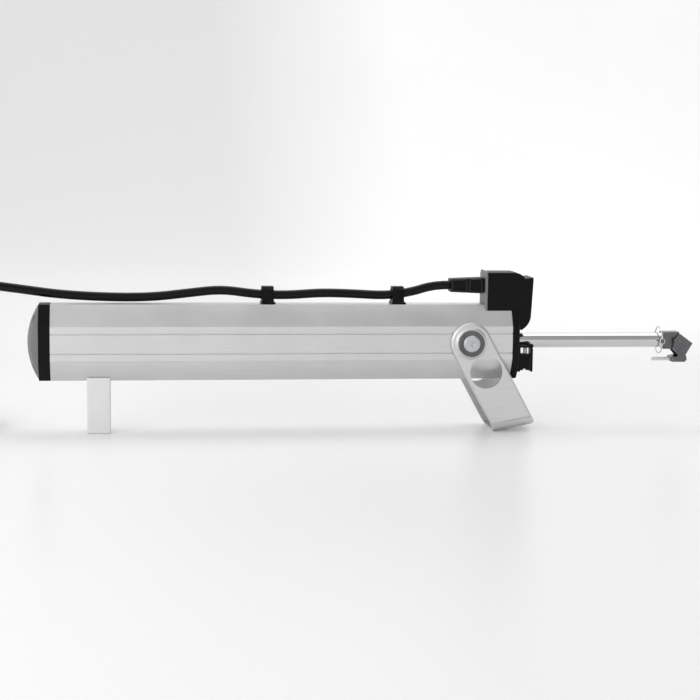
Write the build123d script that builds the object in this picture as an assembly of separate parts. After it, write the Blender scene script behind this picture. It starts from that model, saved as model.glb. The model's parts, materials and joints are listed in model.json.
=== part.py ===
from build123d import *
import math
import os

# Electric linear actuator, drawn along X: rear end at the left, rod out to the right.
# While the pieces are drawn, X is 0 at the joint of rear cap and body, and Z is 0 on the rod axis.

# Clearances
fit_gap = 0.05
body_gap = 0.4
slide_gap = 0.5

# Body extrusion
body_len = 366.0
body_h = 60.0
body_w = 39.0
panel_h = 26.8
panel_step = 0.4
shoulder_crown = 0.6
shoulder_seat = 6.2
flat_top_w = 18.0
bore_d = 32.0
groove_z = 7.7
groove_w = 1.1
groove_depth = 1.1
channel_w = 16.0
channel_h = 8.0
skin = 3.0
keyway_w = 5.0
cap_screw_y = 12.6
cap_screw_z = 19.0
cap_screw_d = 2.8

# Ends
rear_cap_t = 9.0
dome_rise = 9.0
front_cap_t = 6.0
cap_edge = 1.0
screw_head_d = 4.6
screw_head_t = 2.0
cap_screw_len = 16.0
wiper_d = 15.0
wiper_out = 1.8

# Stance
floor_z = -72.0
rest_x = 28.0
rest_len = 18.5
rest_w = 24.0
rest_reach = 2.5

# Motor and gears
motor_x = 28.0
motor_len = 56.0
motor_d = 29.6
motor_ring_len = 8.0
mount_t = 3.0
gear_module = 0.5
sun_teeth = 12
planet_teeth = 18
planet_count = 3
gear_len = 8.0
gear_backlash = 0.16
sun_shaft_d = 3.0
planet_pin_d = 3.0
carrier_t = 3.0
ring_len = 14.0
holder_len = 13.0
holder_wall = 3.0
bearing_d = 22.0
bearing_t = 7.0

# Screw, nut and rod
screw_d = 8.0
screw_short = 28.0
screw_bore_gap = 0.5
collar_d = 13.0
collar_t = 2.5
nut_len = 26.0
nut_margin = 4.0
nut_seat = 12.0
tab_w = 4.0
tab_x = 6.0
tab_len = 10.0
tab_reach = 21.4
rod_d = 12.0
rod_out = 129.0
rod_bore_margin = 5.0
spigot_d = 7.0
spigot_len = 8.0
bush_len = 22.0

# Switch board in the lower channel
stroke_in = 80.0
stroke_out = 100.0
board_t = 1.6
board_margin = 6.0
switch_len = 14.0
switch_w = 6.0
switch_h = 3.2
plunger_w = 2.4
plunger_h = 0.4

# Rod end
fitting_len = 14.0
fitting_h = 14.0
fitting_w = 10.0
end_pivot_out = 11.0
end_pin_d = 3.2
ear_t = 2.0
web_right_x = 13.6
web_right_z = -2.1
web_lower_x = 8.2
web_lower_z = -11.4
flange_drop = 15.7
flange_t = 3.6
flange_back = 3.0
flange_len = 12.4
ear_upper_x = 3.2
ear_upper_z = 5.4
ear_left_x = -2.9
ear_left_z = -6.8
ear_under_x = 2.6
ear_under_z = -12.6
stud_d = 3.0
stud_len = 15.6
stud_grip = 6.0
bolt_hole_d = 3.4
bolt_spacing = 8.0
lock_back = 2.0
lock_pin_d = 2.4
lock_ring_r = 10.7
lock_wire_d = 1.3

# Stirrup
pivot_back = 34.3
lean = 28.8
leg_r = 16.4
leg_t = 2.5
leg_gap = 0.5
leg_bend_r = 9.0
leg_rim_r = 2.0
foot_corner_r = 3.5
foot_tilt = 9.9
foot_hole_d = 5.5
foot_hole_spacing = 20.0
foot_hole_back = 17.0
cutout_d = 26.2
cutout_drop = 26.4
boss_d = 26.0
boss_top_d = 22.8
boss_bore_d = 21.8
boss_h = 1.5
bush_d = 12.0
bush_sink = 2.5
washer_t = 1.0
washer_d = 20.8
pivot_head_d = 13.6
pivot_head_t = 2.2
pivot_shank_d = 6.0
pivot_socket_d = 4.0

# Cable clips
clip_xs = [170.1, 274.6]
clip_len = 9.4
clip_w = 13.0
clip_h = 13.9
clip_cable_z = 7.5
clip_bore_d = 9.6
clip_foot_w = 17.0
clip_foot_t = 1.6

# Terminal housing and plug
plate_back = 21.2
plate_t = 1.5
plate_h = 27.0
plate_corner = 4.0
hood_w = 25.0
hood_h = 26.0
hood_len = 37.2
hood_wall = 2.2
hood_nose_drop = 4.8
hood_tail_gap = 3.6
lip_t = 3.0
lip_len = 6.2
plug_len = 25.5
plug_rise = 15.0
plug_joint = 13.7
plug_w = 16.0
plug_back_h = 10.6
plug_front_h = 12.6
plug_collar_len = 2.0
plug_collar_rim = 1.2
plug_nose_len = 12.0
plug_nose_w = 12.0
plug_nose_h = 8.0
plug_gap = 0.3
socket_pin_d = 1.8
socket_pin_pitch = 3.6

# Release block under the rod
release_y = -14.0
release_w = 8.0
release_back_t = 2.0
release_top_z = -3.0
release_bottom_z = -24.0
release_block_top_z = -9.6
release_block_len = 7.5
release_bar_t = 1.5
flap_pin_d = 1.6
flap_pin_x = 10.4
flap_t = 2.0
flap_len = 21.0
flap_barrel_d = 3.4
ribbed_pin_d = 3.4
ribbed_pin_x = 6.6
ribbed_pin_ribs = 4

# Cable
cable_d = 7.2
coil_turn_r = 40.0
coil_columns = 2
coil_layers = 3
coil_x = -92.4
coil_y = 20.5
drop_slope = 0.84
drop_turn = 30.0
drop_points = 8
drop_start_h = 96.0
drop_end_h = 17.0
drop_r = 44.6
tie_t = 1.2
tie_w = 9.0
core_d = 1.8
core_len = 20.0
core_count = 3
sleeve_len = 16.0
sleeve_d = 7.8
end_angle = 18.0
end_heading = 50.0
end_inset = 1.6
cable_points = [
    (304.0, 0.0, 45.0),
    (286.0, 0.0, 39.2),
    (264.0, 0.0, 36.4),
    (238.0, 1.5, 37.9),
    (212.0, 1.0, 38.6),
    (186.0, 0.0, 36.6),
    (160.0, 0.0, 37.5),
    (134.0, 1.5, 41.2),
    (108.0, 2.5, 38.2),
    (80.0, 3.5, 34.8),
    (46.0, 3.5, 34.6),
    (8.0, 2.0, 36.8),
    (-24.0, 0.5, 41.4),
    (-50.0, -2.5, 45.2),
    (-71.5, -11.5, 39.0),
]


# Values worked out from the sizes above
half_h = body_h / 2
half_w = body_w / 2
half_panel = panel_h / 2
half_top = flat_top_w / 2
bore_r = bore_d / 2
front_x = body_len + front_cap_t
rod_r = rod_d / 2
screw_r = screw_d / 2
cable_r = cable_d / 2
motor_end = motor_x + motor_len
ring_x = motor_end + mount_t
gear_x = ring_x + (ring_len - gear_len - carrier_t) / 2
carrier_x = gear_x + gear_len + slide_gap
holder_x = ring_x + ring_len
bearing_x = holder_x + holder_wall
planet_pitch_r = gear_module * planet_teeth / 2
sun_pitch_r = gear_module * sun_teeth / 2
ring_teeth = sun_teeth + 2 * planet_teeth
planet_orbit = sun_pitch_r + planet_pitch_r
nut_x = body_len - bush_len - nut_len - nut_margin - stroke_out
rod_start = nut_x + nut_len - nut_seat
screw_start = carrier_x + carrier_t
screw_end = body_len - screw_short
rod_bore_len = screw_end - rod_start + stroke_in + rod_bore_margin
rod_out_x = body_len + rod_out
end_pivot_x = rod_out_x + end_pivot_out
flange_x = end_pivot_x - flange_back
flange_z = -flange_drop
lock_x = rod_out_x - lock_back
pivot_x = body_len - pivot_back
plate_x = body_len - plate_back
plate_w = hood_w
plug_x = plate_x - plug_collar_len - plug_len
plug_z = half_h + plug_rise
hood_tail_z = rod_r + hood_tail_gap
leg_in = half_w + leg_gap
leg_out = leg_in + leg_t
down = Vector(math.sin(math.radians(lean)), 0, -math.cos(math.radians(lean)))
across = Vector(math.cos(math.radians(lean)), 0, math.sin(math.radians(lean)))
pivot = Vector(pivot_x, 0, 0)
foot_left = (-floor_z - leg_r * math.sin(math.radians(lean))) / math.cos(math.radians(lean))
foot_slope = math.tan(math.radians(lean - foot_tilt))
foot_right = foot_left + 2 * leg_r * foot_slope
clip_z = half_h + clip_cable_z


# Helpers

def bar(x0, x1, radius, y=0.0, z=0.0):
    """A round bar along X."""
    return Pos((x0 + x1) / 2, y, z) * Rot(0, 90, 0) * Cylinder(radius, x1 - x0)


def pin(y0, y1, radius, x, z):
    """A round pin along Y."""
    return Pos(x, (y0 + y1) / 2, z) * Rot(90, 0, 0) * Cylinder(radius, y1 - y0)


def brick(x0, x1, y0, y1, z0, z1):
    """A box between two corners."""
    centre = Pos((x0 + x1) / 2, (y0 + y1) / 2, (z0 + z1) / 2)
    return centre * Box(x1 - x0, y1 - y0, z1 - z0)


def both_sides(shape):
    """The shape and its mirror image across the middle plane."""
    return [shape, mirror(shape, Plane.XZ)]


def cap_screw_places():
    """The four screw places in the ends of the extrusion."""
    places = []
    for side in (-1, 1):
        for level in (-1, 1):
            places.append((side * cap_screw_y, level * cap_screw_z))
    return places


def body_face(inset=0.0, step=panel_step):
    """The outer section of the body: flat sides, top and bottom, joined by slightly crowned shoulders."""
    top = half_h - inset
    side = half_w - inset
    shoulder = side - step
    edges = [
        Line((-half_top, top), (half_top, top)),
        Line((-half_top, -top), (half_top, -top)),
        Line((side, -half_panel), (side, half_panel)),
        Line((-side, -half_panel), (-side, half_panel)),
    ]
    run = Vector(shoulder - half_top, half_panel - top)
    outward = Vector(-run.Y, run.X).normalized() * shoulder_crown
    for sy in (-1, 1):
        for sz in (-1, 1):
            low = (sy * shoulder, sz * half_panel)
            high = (sy * half_top, sz * top)
            middle_y = (shoulder + half_top) / 2 + outward.X
            middle_z = (half_panel + top) / 2 + outward.Y
            edges.append(ThreePointArc(low, (sy * middle_y, sz * middle_z), high))
            if step:
                edges.append(Line(low, (sy * side, sz * half_panel)))
    return Plane.YZ * make_face(edges)


def body_prism(x0, x1, inset=0.0, step=panel_step):
    """The body's outer section drawn out between two places along X."""
    return Pos(x0, 0, 0) * extrude(body_face(inset, step), amount=x1 - x0)


def gear_solid(teeth, x0, length, phase, inward=False):
    """A spur gear along X with straight-flanked teeth. Inward gives the hole of a ring gear."""
    pitch_r = gear_module * teeth / 2
    thickness = math.pi * gear_module / 2 - gear_backlash
    flank = math.tan(math.radians(20))
    short = 0.8 * gear_module
    long = 1.1 * gear_module
    if inward:
        inner_w = thickness - 2 * short * flank
        outer_w = thickness + 2 * long * flank
        radii = [(pitch_r + long, outer_w), (pitch_r - short, inner_w)]
    else:
        outer_w = thickness - 2 * short * flank
        inner_w = thickness + 2 * long * flank
        radii = [(pitch_r - long, inner_w), (pitch_r + short, outer_w)]
    points = []
    for tooth in range(teeth):
        middle = phase + 2 * math.pi * tooth / teeth
        root, tip = radii
        for radius, width, side in ((*root, -1), (*tip, -1), (*tip, 1), (*root, 1)):
            angle = middle + side * width / (2 * radius)
            points.append((radius * math.cos(angle), radius * math.sin(angle)))
    face = make_face(Polyline(*points, close=True))
    return Pos(x0, 0, 0) * extrude(Plane.YZ * face, amount=length)


# Body and ends

def body_extrusion():
    """The extruded case: bore for the drive, two side channels, keyway and screw holes."""
    solid = body_prism(0, body_len)
    solid -= bar(0, body_len, bore_r)
    half_channel = channel_w / 2
    outer = half_h - skin
    inner = outer - channel_h
    for level in (-1, 1):
        z0, z1 = sorted((level * inner, level * outer))
        solid -= brick(0, body_len, -half_channel, half_channel, z0, z1)
    solid -= brick(0, body_len, -keyway_w / 2, keyway_w / 2, -inner - 1, 0)
    for side in (-1, 1):
        for level in (-1, 1):
            y0, y1 = sorted((side * (half_w - groove_depth), side * (half_w + 1)))
            z = level * groove_z
            solid -= brick(0, body_len, y0, y1, z - groove_w / 2, z + groove_w / 2)
        y0, y1 = sorted((side * (half_w - bush_sink), side * (half_w + 1)))
        solid -= pin(y0, y1, bush_d / 2, pivot_x, 0)
        y0, y1 = sorted((0, side * half_w))
        solid -= pin(y0, y1, pivot_shank_d / 2, pivot_x, 0)
    for y, z in cap_screw_places():
        solid -= bar(0, body_len, cap_screw_d / 2, y, z)
    return solid


def rear_end_cap():
    """Black cap that closes the rear of the extrusion."""
    cap = body_prism(-rear_cap_t, 0, step=0)
    cap -= bar(-rear_cap_t + skin, 0, bore_r - skin)
    for y, z in cap_screw_places():
        cap -= bar(-rear_cap_t, 0, cap_screw_d / 2, y, z)
    return cap


def dome_sphere_r():
    """Radius of the dome from its rise over the body height."""
    return (half_h ** 2 + dome_rise ** 2) / (2 * dome_rise)


def rear_dome_cover():
    """Domed cover: the body outline cut by a sphere, notched round the screw heads."""
    radius = dome_sphere_r()
    tip_x = -rear_cap_t - dome_rise
    cover = body_prism(tip_x, -rear_cap_t, panel_step, 0)
    cover &= Pos(tip_x + radius, 0, 0) * Sphere(radius)
    notch_r = screw_head_d / 2 + slide_gap
    for y, z in cap_screw_places():
        cover -= bar(tip_x, -rear_cap_t, notch_r, y, z)
    return cover


def rear_cap_screws():
    """Four pan-head screws that hold the rear cap."""
    screws = []
    for y, z in cap_screw_places():
        head = bar(-rear_cap_t - screw_head_t, -rear_cap_t, screw_head_d / 2, y, z)
        slot = brick(-rear_cap_t - screw_head_t, -rear_cap_t - screw_head_t + 0.8,
                     y - screw_head_d / 2, y + screw_head_d / 2, z - 0.4, z + 0.4)
        shank = bar(-rear_cap_t, cap_screw_len - rear_cap_t, cap_screw_d / 2, y, z)
        screws.append((head - slot) + shank)
    return screws


def front_end_cap():
    """Black front cap with the rod hole and four sunk screw places."""
    edge_x = front_x - cap_edge
    cap = body_prism(body_len, edge_x, step=0)
    cap += loft([Pos(edge_x, 0, 0) * body_face(0, 0), Pos(front_x, 0, 0) * body_face(cap_edge, 0)])
    cap -= bar(body_len, front_x, wiper_d / 2)
    for y, z in cap_screw_places():
        cap -= bar(body_len, front_x, cap_screw_d / 2, y, z)
        cap -= bar(front_x - screw_head_t, front_x, screw_head_d / 2, y, z)
    return cap


def front_cap_screws():
    """Four screws whose heads lie flush in the front cap."""
    screws = []
    for y, z in cap_screw_places():
        head = bar(front_x - screw_head_t, front_x, screw_head_d / 2, y, z)
        head -= bar(front_x - 1, front_x, 1.2, y, z)
        shank = bar(front_x - cap_screw_len, front_x - screw_head_t, cap_screw_d / 2, y, z)
        screws.append(head + shank)
    return screws


def rod_wiper():
    """Rubber wiper in the front cap, with a rounded lip round the rod."""
    wiper = bar(body_len, front_x + wiper_out, wiper_d / 2)
    rim = wiper.faces().sort_by(Axis.X)[-1].edges()
    wiper = chamfer(rim, wiper_out * 0.8)
    return wiper - bar(body_len, front_x + wiper_out, rod_r + fit_gap)


def rod_bush():
    """Plastic guide bush in the front of the bore."""
    bush = bar(body_len - bush_len, body_len, bore_r)
    bush -= bar(body_len - bush_len, body_len, rod_r + fit_gap)
    return bush


def rear_rest_block():
    """White block under the rear end, cradling the underside of the body."""
    top = -half_h + rest_reach
    block = brick(rest_x, rest_x + rest_len, -rest_w / 2, rest_w / 2, floor_z, top)
    upright = block.edges().filter_by(Axis.Z)
    block = fillet(upright, 1.5)
    block = chamfer(block.faces().sort_by(Axis.Z)[0].edges(), 1.0)
    return block - body_prism(rest_x - 1, rest_x + rest_len + 1)


# Motor and gear stage

def motor_can():
    """Motor with rolled rear edge, front boss and shaft hole."""
    can = bar(motor_x, motor_end, motor_d / 2)
    can = chamfer(can.faces().sort_by(Axis.X)[0].edges(), 1.5)
    terminal = bar(motor_x - 4, motor_x, 5)
    can += terminal
    can -= bar(motor_end - 14, motor_end, sun_shaft_d / 2 + fit_gap)
    return can


def motor_ring():
    """Rubber ring that holds the motor's rear in the bore."""
    ring = bar(motor_x + 6, motor_x + 6 + motor_ring_len, bore_r)
    return ring - bar(motor_x + 6, motor_x + 6 + motor_ring_len, motor_d / 2)


def motor_mount():
    """Plate between motor and ring gear."""
    plate = bar(motor_end, motor_end + mount_t, bore_r)
    plate -= bar(motor_end, motor_end + mount_t, sun_shaft_d / 2 + slide_gap)
    return plate


def ring_gear():
    """Fixed ring gear of the planetary stage."""
    return bar(ring_x, ring_x + ring_len, bore_r) - gear_solid(ring_teeth, ring_x, ring_len, 0, True)


def sun_shaft():
    """Motor shaft with the sun pinion."""
    shaft = bar(motor_end - 12, gear_x, sun_shaft_d / 2)
    return shaft + gear_solid(sun_teeth, gear_x, gear_len, 0)


def planet_angle(index):
    """Place of a planet round the screw axis."""
    return 2 * math.pi * index / planet_count


def planet_place(index):
    """Offset of a planet's axis from the screw axis."""
    angle = planet_angle(index)
    return planet_orbit * math.cos(angle), planet_orbit * math.sin(angle)


def planet_gear(index):
    """Planet gear, turned so that a gap faces the sun."""
    phase = planet_angle(index) + math.pi + math.pi / planet_teeth
    gear = gear_solid(planet_teeth, gear_x, gear_len, phase)
    gear -= bar(gear_x, gear_x + gear_len, planet_pin_d / 2 + fit_gap)
    y, z = planet_place(index)
    return Pos(0, y, z) * gear


def planet_carrier():
    """Carrier disc with a pin for each planet."""
    tip_r = gear_module * ring_teeth / 2 - gear_module
    disc = bar(carrier_x, carrier_x + carrier_t, tip_r - slide_gap)
    for index in range(planet_count):
        y, z = planet_place(index)
        disc += bar(gear_x, carrier_x, planet_pin_d / 2, y, z)
    return disc


def bearing_holder():
    """Flanged ring that seats the screw bearing in the bore."""
    holder = bar(holder_x, holder_x + holder_len, bore_r)
    holder -= bar(holder_x, bearing_x, bearing_d / 2 - 3)
    holder -= bar(bearing_x, holder_x + holder_len, bearing_d / 2)
    return holder


def screw_bearing():
    """Deep-groove bearing that carries the lead screw."""
    ring = bar(bearing_x, bearing_x + bearing_t, bearing_d / 2)
    ring -= bar(bearing_x, bearing_x + bearing_t, screw_r + fit_gap)
    middle_r = (bearing_d / 2 + screw_r) / 2
    recess = bar(bearing_x, bearing_x + 0.8, middle_r + 1.6) - bar(bearing_x, bearing_x + 0.8, middle_r - 1.6)
    return ring - recess - Pos(bearing_t - 0.8, 0, 0) * recess


def lead_screw():
    """Lead screw with its journal and thrust collar."""
    collar_x = bearing_x + bearing_t + body_gap
    screw = bar(screw_start, screw_end, screw_r)
    screw = chamfer(screw.faces().sort_by(Axis.X)[-1].edges(), 1.0)
    return screw + bar(collar_x, collar_x + collar_t, collar_d / 2)


def drive_nut():
    """Nut carrier that guides the rod in the bore, with its keyway tab."""
    nut = bar(nut_x, nut_x + nut_len, bore_r - slide_gap)
    nut = chamfer(nut.edges().filter_by(GeomType.CIRCLE), 1.0)
    tab_start = nut_x + tab_x
    tab = brick(tab_start, tab_start + tab_len, -tab_w / 2, tab_w / 2, -tab_reach, -bore_r + 3)
    nut += tab
    nut -= bar(nut_x, nut_x + nut_len, screw_r + fit_gap)
    nut -= bar(rod_start, nut_x + nut_len, rod_r)
    return nut


# Rod and rod end

def push_rod():
    """Hollow push rod with its spigot and the hole for the lock pin."""
    rod = bar(rod_start, rod_out_x, rod_r)
    rod -= bar(rod_start, rod_start + rod_bore_len, screw_r + screw_bore_gap)
    rod += bar(rod_out_x, rod_out_x + spigot_len, spigot_d / 2)
    return rod - pin(-rod_d, rod_d, lock_pin_d / 2, lock_x, 0)


def rod_end_fitting():
    """Square fitting on the rod with the cross hole for the pivot pin."""
    end_x = rod_out_x + fitting_len
    fitting = brick(rod_out_x, end_x, -fitting_w / 2, fitting_w / 2, -fitting_h / 2, fitting_h / 2)
    fitting = fillet(fitting.edges().filter_by(Axis.Y).group_by(Axis.X)[0], 1.2)
    fitting -= bar(rod_out_x, rod_out_x + spigot_len, spigot_d / 2)
    return fitting - pin(-fitting_w, fitting_w, end_pin_d / 2, end_pivot_x, 0)


def bracket_pin():
    """Pivot pin through fitting and bracket ears, with a rounded head at each end."""
    reach = fitting_w / 2 + body_gap + ear_t + body_gap
    shank = pin(-reach, reach, end_pin_d / 2, end_pivot_x, 0)
    heads = []
    for side in (-1, 1):
        y0, y1 = sorted((side * reach, side * (reach + 1)))
        heads.append(pin(y0, y1, end_pin_d / 2 + 0.9, end_pivot_x, 0))
    return shank + heads[0] + heads[1]


def bracket_web():
    """Direction of the bracket's web, its inward normal and the middle of its thickness."""
    right = Vector(end_pivot_x + web_right_x, 0, web_right_z)
    lower = Vector(end_pivot_x + web_lower_x, 0, web_lower_z)
    web_dir = (right - lower).normalized()
    inward = Vector(-web_dir.Z, 0, web_dir.X)
    return web_dir, inward, (right + lower) / 2 + inward * ear_t / 2


def end_bracket():
    """Swivel bracket: two square ears joined by a web, on a wedge-shaped lower flange."""
    ear_in = fitting_w / 2 + body_gap
    ear_out = ear_in + ear_t
    upper = (ear_upper_x, ear_upper_z)
    right = (web_right_x, web_right_z)
    lower = (web_lower_x, web_lower_z)
    under = (ear_under_x, ear_under_z)
    left = (ear_left_x, ear_left_z)
    side_plane = Plane(origin=(end_pivot_x, ear_out, 0), x_dir=(1, 0, 0), z_dir=(0, -1, 0))
    outline = make_face(Polyline(upper, right, lower, under, left, (left[0] + 0.8, 0.8), close=True))
    ears = extrude(side_plane * outline, amount=2 * ear_out)
    web_dir, inward, web_mid = bracket_web()
    slot_plane = Plane(origin=web_mid - web_dir * 40 + inward * ear_t / 2, x_dir=web_dir, z_dir=(0, -1, 0))
    slot = Box(80, 60, 2 * ear_in, align=(Align.MIN, Align.MIN, Align.CENTER))
    ears -= slot_plane * slot
    top = flange_z + flange_t / 2
    bottom = flange_z - flange_t / 2
    nose = (flange_len - flange_back, flange_z + 0.4)
    wedge = make_face(Polyline((-flange_back, top), (-flange_back, bottom), (nose[0] - 1.8, bottom), nose,
                               lower, (under[0], top + 1.4), close=True))
    bracket = ears + extrude(side_plane * wedge, amount=2 * ear_out)
    bracket -= bar(flange_x, flange_x + stud_grip, stud_d / 2, 0, flange_z)
    bracket -= pin(-ear_out, ear_out, end_pin_d / 2 + fit_gap, end_pivot_x, 0)
    hole_plane = Plane(origin=web_mid, x_dir=(0, 1, 0), z_dir=inward)
    for side in (-1, 1):
        hole = Pos(side * bolt_spacing / 2, 0, 0) * Cylinder(bolt_hole_d / 2, 3 * ear_t)
        bracket -= hole_plane * hole
    return bracket


def bracket_stud():
    """Threaded stud screwed into the edge of the lower flange."""
    stud = bar(flange_x - stud_len, flange_x + stud_grip, stud_d / 2, 0, flange_z)
    return chamfer(stud.faces().sort_by(Axis.X)[0].edges(), 0.4)


def lock_pin():
    """Cross pin through the rod that carries the wire ring."""
    reach = lock_ring_r + 1.6
    return pin(-reach, reach, lock_pin_d / 2, lock_x, 0)


def lock_ring():
    """Wire ring round the rod with an eye on each end of the lock pin."""
    wire = Pos(0, lock_ring_r) * RegularPolygon(lock_wire_d / 2, 8, rotation=22.5)
    ring = Pos(lock_x, 0, 0) * revolve(wire, Axis.X)
    eye_r = lock_pin_d / 2 + fit_gap
    for side in (-1, 1):
        y0, y1 = sorted((side * (lock_ring_r - 0.8), side * (lock_ring_r + 0.8)))
        ring += pin(y0, y1, eye_r + 0.9, lock_x, 0)
    return ring - pin(-2 * lock_ring_r, 2 * lock_ring_r, eye_r, lock_x, 0)


# Stirrup

def leg_outline():
    """Side view of the stirrup: rounded head, straight flanks, foot cut to its tilt."""
    edges = [
        ThreePointArc((0, -leg_r), (-leg_r, 0), (0, leg_r)),
        Line((0, leg_r), (foot_right, leg_r)),
        Line((foot_right, leg_r), (foot_left, -leg_r)),
        Line((foot_left, -leg_r), (0, -leg_r)),
    ]
    return make_face(edges)


def strap_block(inset):
    """Tall block with bent lower edges along the foot: the outside of the strap, or its inside."""
    block = Pos(0, inset, 0) * Box(200, 150, 2 * (leg_out - inset), align=(Align.MIN, Align.MIN, Align.CENTER))
    low = block.edges().filter_by(Axis.X).group_by(Axis.Y)[0]
    return fillet(low, leg_bend_r - inset)


def stirrup():
    """U bracket that straddles the body, with coned bosses and round cut-outs."""
    side_plane = Plane(origin=pivot + Vector(0, leg_out, 0), x_dir=down, z_dir=(0, -1, 0))
    shape = extrude(side_plane * leg_outline(), amount=2 * leg_out)
    corner = across * leg_r + down * foot_right
    corner_edge = shape.edges().filter_by(Axis.Y).sort_by_distance(pivot + corner)[0]
    shape = fillet(corner_edge, foot_corner_r)
    rims = shape.faces().sort_by(Axis.Y)
    shape = fillet(rims[0].edges() + rims[-1].edges(), leg_rim_r)
    foot_dir = Vector(math.cos(math.radians(foot_tilt)), 0, math.sin(math.radians(foot_tilt)))
    up = Vector(-foot_dir.Z, 0, foot_dir.X)
    corner_left = pivot + down * foot_left - across * leg_r
    foot_plane = Plane(origin=corner_left - foot_dir * 60, x_dir=foot_dir, z_dir=(0, -1, 0))
    shape &= foot_plane * strap_block(0)
    shape -= foot_plane * strap_block(leg_t)
    for side in (-1, 1):
        turn = Rot(90 * side, 0, 0)
        boss = Pos(0, side * (leg_out + boss_h / 2), 0) * turn * Cone(
            boss_top_d / 2, boss_d / 2, boss_h)
        shape += Pos(pivot_x, 0, 0) * boss
        y0, y1 = sorted((side * leg_out, side * (leg_out + boss_h)))
        shape -= pin(y0, y1, boss_bore_d / 2, pivot_x, 0)
    shape -= pin(-leg_out, leg_out, bush_d / 2 + fit_gap, pivot_x, 0)
    centre = pivot + down * cutout_drop
    shape -= pin(-2 * leg_out, 2 * leg_out, cutout_d / 2, centre.X, centre.Z)
    hole_at = corner_left + foot_dir * foot_hole_back
    for side in (-1, 1):
        hole_plane = Plane(origin=hole_at + Vector(0, side * foot_hole_spacing / 2, 0),
                           x_dir=foot_dir, z_dir=up)
        shape -= hole_plane * Cylinder(foot_hole_d / 2, 4 * leg_t)
    return shape


def pivot_bushes():
    """Bearing bushes that the stirrup turns on, sunk in the body's sides."""
    bush = pin(half_w - bush_sink, leg_out + body_gap, bush_d / 2, pivot_x, 0)
    bush -= pin(half_w - bush_sink, leg_out + body_gap, pivot_shank_d / 2, pivot_x, 0)
    return both_sides(bush)


def pivot_washers():
    """Dark washers inside the coned bosses."""
    start = leg_out + body_gap
    washer = pin(start, start + washer_t, washer_d / 2, pivot_x, 0)
    washer -= pin(start, start + washer_t, pivot_shank_d / 2, pivot_x, 0)
    return both_sides(washer)


def pivot_screws():
    """Domed screws that hold the washers and bushes."""
    seat = leg_out + body_gap + washer_t
    inner = bore_r + body_gap
    head = pin(seat, seat + pivot_head_t, pivot_head_d / 2, pivot_x, 0)
    head = chamfer(head.faces().sort_by(Axis.Y)[-1].edges(), 0.9)
    hexagon = RegularPolygon(pivot_socket_d / 2, 6)
    socket_plane = Plane(origin=(pivot_x, seat + pivot_head_t, 0), x_dir=(1, 0, 0), z_dir=(0, -1, 0))
    head -= extrude(socket_plane * hexagon, amount=1.4)
    screw = head + pin(inner, seat, pivot_shank_d / 2, pivot_x, 0)
    return both_sides(screw)


# Cable clips, plug and terminal housing

def cable_clip(index):
    """Clip on the flat top: chamfered arch over the cable on a wider foot."""
    x0 = clip_xs[index] - clip_len / 2
    x1 = x0 + clip_len
    top = half_h + clip_h
    arch = brick(x0, x1, -clip_w / 2, clip_w / 2, half_h, top)
    arch = chamfer(arch.edges().filter_by(Axis.X).group_by(Axis.Z)[-1], 2.5)
    foot = brick(x0 - 0.6, x1 + 1.2, -clip_foot_w / 2, clip_foot_w / 2, half_h, half_h + clip_foot_t)
    foot = chamfer(foot.edges().filter_by(Axis.X).group_by(Axis.Z)[-1], 0.6)
    return arch + foot - bar(x0 - 2, x1 + 2, clip_bore_d / 2, 0, clip_z)


def connector_plate():
    """Grey upright plate with rounded top corners and the opening for the plug."""
    top = half_h + plate_h
    plate = brick(plate_x, plate_x + plate_t, -plate_w / 2, plate_w / 2, half_h - shoulder_seat, top)
    plate = fillet(plate.edges().filter_by(Axis.X).group_by(Axis.Z)[-1], plate_corner)
    half_nose = plug_nose_w / 2 + plug_gap
    tall_nose = plug_nose_h / 2 + plug_gap
    plate -= brick(plate_x, plate_x + plate_t, -half_nose, half_nose, plug_z - tall_nose, plug_z + tall_nose)
    return plate - body_prism(plate_x - 1, plate_x + plate_t + 1)


def hood_outline(inset):
    """Side view of the hood: flat top, rounded nose with its lip, front and tail."""
    left = plate_x + plate_t
    right = left + hood_len
    top = half_h + hood_h
    nose_x = right - lip_len
    nose_z = top - hood_nose_drop
    bend_x = nose_x - 11
    tail_x = front_x + 2.4
    tail_rise = half_h - hood_tail_z
    low = half_h - shoulder_seat
    if inset:
        inner_top = top - inset
        inner_right = right - 2 * inset
        return make_face([
            Line((left, low), (left, inner_top)),
            Line((left, inner_top), (bend_x, inner_top)),
            ThreePointArc((bend_x, inner_top), (bend_x + 6, inner_top - 1.6), (inner_right, nose_z - inset)),
            Line((inner_right, nose_z - inset), (inner_right, low)),
            Line((inner_right, low), (left, low)),
        ])
    return make_face([
        Line((left, low), (left, top)),
        Line((left, top), (bend_x, top)),
        ThreePointArc((bend_x, top), (bend_x + 7, top - 1.4), (nose_x, nose_z)),
        Line((nose_x, nose_z), (right, nose_z + 0.8)),
        Line((right, nose_z + 0.8), (right, nose_z - lip_t)),
        Line((right, nose_z - lip_t), (right - 0.8, half_h + 1)),
        Line((right - 0.8, half_h + 1), (right - 1.4, hood_tail_z + 0.56 * tail_rise)),
        ThreePointArc((right - 1.4, hood_tail_z + 0.56 * tail_rise), (right - 3.6, hood_tail_z + 0.24 * tail_rise),
                      (tail_x, hood_tail_z)),
        Line((tail_x, hood_tail_z), (front_x, hood_tail_z + 2)),
        Line((front_x, hood_tail_z + 2), (front_x, low)),
        Line((front_x, low), (left, low)),
    ])


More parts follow.
